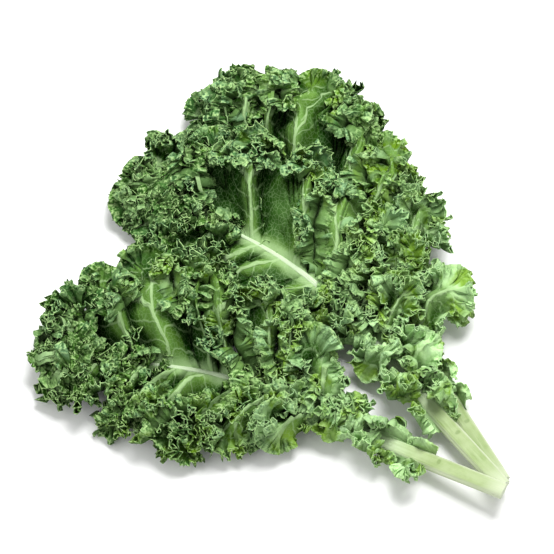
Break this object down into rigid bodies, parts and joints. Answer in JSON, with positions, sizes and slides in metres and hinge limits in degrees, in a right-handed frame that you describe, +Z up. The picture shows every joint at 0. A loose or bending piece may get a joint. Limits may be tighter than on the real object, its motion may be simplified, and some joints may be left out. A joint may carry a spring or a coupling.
{
  "type": "kale bunch",
  "caption": "Bunch of curly kale leaves lying fanned out from their cut stalks, with frilled, lobed blades and pale midribs.",
  "frame": {"origin": "under the middle of the bunch's bounding box, on the surface that it lies on", "axes": "+Z up from that surface; the leaves fan from their cut ends at +X -Y towards -X, the front leaf nearest -Y and the back leaf furthest towards +Y"},
  "size_m": [0.3582, 0.3618, 0.0583],
  "materials": {
    "leaf_green": "mid to bluish green kale leaf with a faint waxy bloom, paler veins and bright yellow-green frilled edges",
    "stalk_pale": "smooth, slightly glossy pale yellow-green stalk with fine lengthwise ribs, whiter along the midrib"
  },
  "bodies": {
    "root": {"back_leaf_stalk": "stalk_pale", "back_leaf_blade": "leaf_green", "middle_leaf_stalk": "stalk_pale", "middle_leaf_blade": "leaf_green", "front_leaf_stalk": "stalk_pale", "front_leaf_blade": "leaf_green"}
  },
  "joints": []
}
